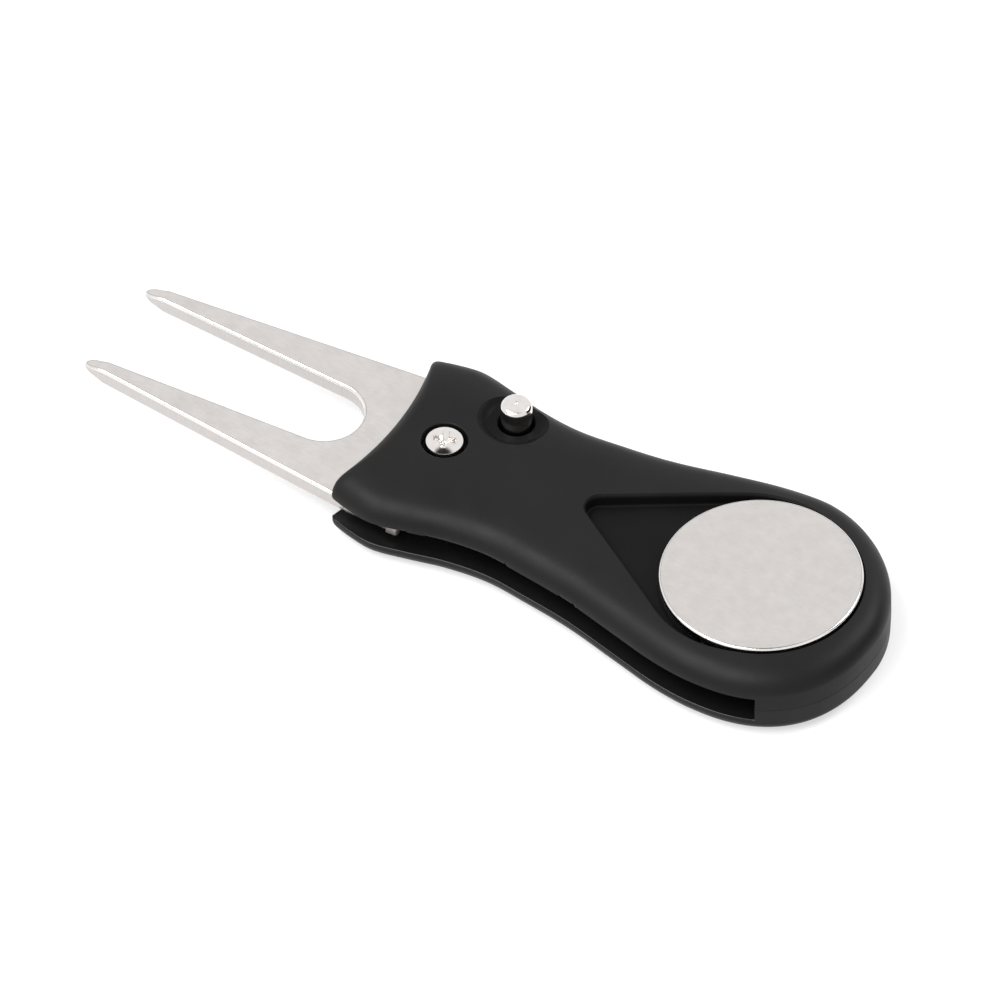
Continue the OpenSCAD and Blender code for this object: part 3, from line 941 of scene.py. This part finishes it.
for node, material in {
    "pivot_nut": ZINC, "pivot_bush": BRONZE, "upper_washer": ZINC, "lower_washer": NYLON,
    "marker_magnet": NICKEL, "case_screws": BLACK_ZINC,
}.items():
    for material_slot in frame["nodes"][node].material_slots:
        material_slot.material = material


# ---------- floor, light and camera ----------


def floor():
    obj = prism("floor", [(-3000, -3000), (3000, -3000), (3000, 3000), (-3000, 3000)], -20, 0)
    obj.data.transform(Matrix.Scale(MM, 4))
    look = Look("pale_floor", Roughness=0.7, Specular_IOR_Level=0.2, Emission_Strength=0.56)
    look.shader.inputs["Emission Color"].default_value = (1, 1, 1, 1)
    look.drive("Base Color", look.ramp(look.noise(0.2), (0.42, 0.42, 0.42), (0.44, 0.44, 0.44)))
    obj.data.materials.append(look.material)


def softbox(name, place, aim, size, energy):
    data = bpy.data.lights.new(name, "AREA")
    data.shape = "RECTANGLE"
    data.size, data.size_y = size
    data.energy = energy
    obj = bpy.data.objects.new(name, data)
    obj.location = place
    obj.rotation_mode = "QUATERNION"
    obj.rotation_quaternion = (Vector(aim) - Vector(place)).to_track_quat("-Z", "Y")
    bpy.context.scene.collection.objects.link(obj)


def dark_gap(tree, direction, wide):
    """1 all round the world, falling to near black within that many degrees of a direction."""
    place = tree.nodes.new("ShaderNodeTexCoord")
    near = tree.nodes.new("ShaderNodeVectorMath")
    near.operation = "DOT_PRODUCT"
    near.inputs[1].default_value = Vector(direction).normalized()
    tree.links.new(place.outputs["Generated"], near.inputs[0])
    edge = tree.nodes.new("ShaderNodeMapRange")
    edge.interpolation_type = "SMOOTHSTEP"
    edge.inputs["From Min"].default_value = math.cos(math.radians(wide + 6))
    edge.inputs["From Max"].default_value = math.cos(math.radians(wide - 6))
    edge.inputs["To Min"].default_value = 1.0
    edge.inputs["To Max"].default_value = 0.03
    tree.links.new(near.outputs["Value"], edge.inputs["Value"])
    return edge.outputs["Result"]


def light():
    """A white studio with dark gaps overhead and behind, softboxes on both sides and a strip."""
    world = bpy.data.worlds.new("studio")
    world.use_nodes = True
    tree = world.node_tree
    both = tree.nodes.new("ShaderNodeMath")
    both.operation = "MULTIPLY"
    tree.links.new(dark_gap(tree, (-0.1, 0.04, 0.99), 16), both.inputs[0])
    tree.links.new(dark_gap(tree, (0.75, 0.6, 0.25), 26), both.inputs[1])
    back = tree.nodes["Background"]
    tree.links.new(both.outputs["Value"], back.inputs["Color"])
    back.inputs["Strength"].default_value = 1.0
    bpy.context.scene.world = world
    softbox("near_side", (-0.2, -0.3, 0.72), (0, 0, 0), (0.7, 0.42), 6.0)
    softbox("rear_side", (0.364, 0.47, 0.535), (0, 0, 0), (0.3, 0.3), 2.2)
    softbox("strip", (-0.3, -0.62, 0.5), (0, 0, 0), (0.3, 0.03), 0.7)


def camera():
    data = bpy.data.cameras.new("camera")
    data.sensor_width = 36
    data.lens = 437.8
    obj = bpy.data.objects.new("camera", data)
    distance, azimuth, elevation = 1.5, math.radians(30.9), math.radians(46.8)
    aim = Vector(((PIVOT_X + 6.34) * MM, 0.00259, 0))
    back = Vector((
        math.sin(azimuth) * math.cos(elevation), -math.cos(azimuth) * math.cos(elevation),
        math.sin(elevation),
    ))
    obj.location = aim + distance * back
    obj.rotation_mode = "QUATERNION"
    roll = Matrix.Rotation(math.radians(-0.35), 4, "Z").to_quaternion()
    obj.rotation_quaternion = (-back).to_track_quat("-Z", "Y") @ roll
    data.clip_start, data.clip_end = 0.05, 20
    bpy.context.scene.collection.objects.link(obj)
    bpy.context.scene.camera = obj


camera()
light()
floor()
top_shell()
bottom_shell()
fork()
pivot_screw()
lock_button()
ball_marker()
torsion_spring()
button_spring()
bpy.context.scene.view_settings.view_transform = "Standard"
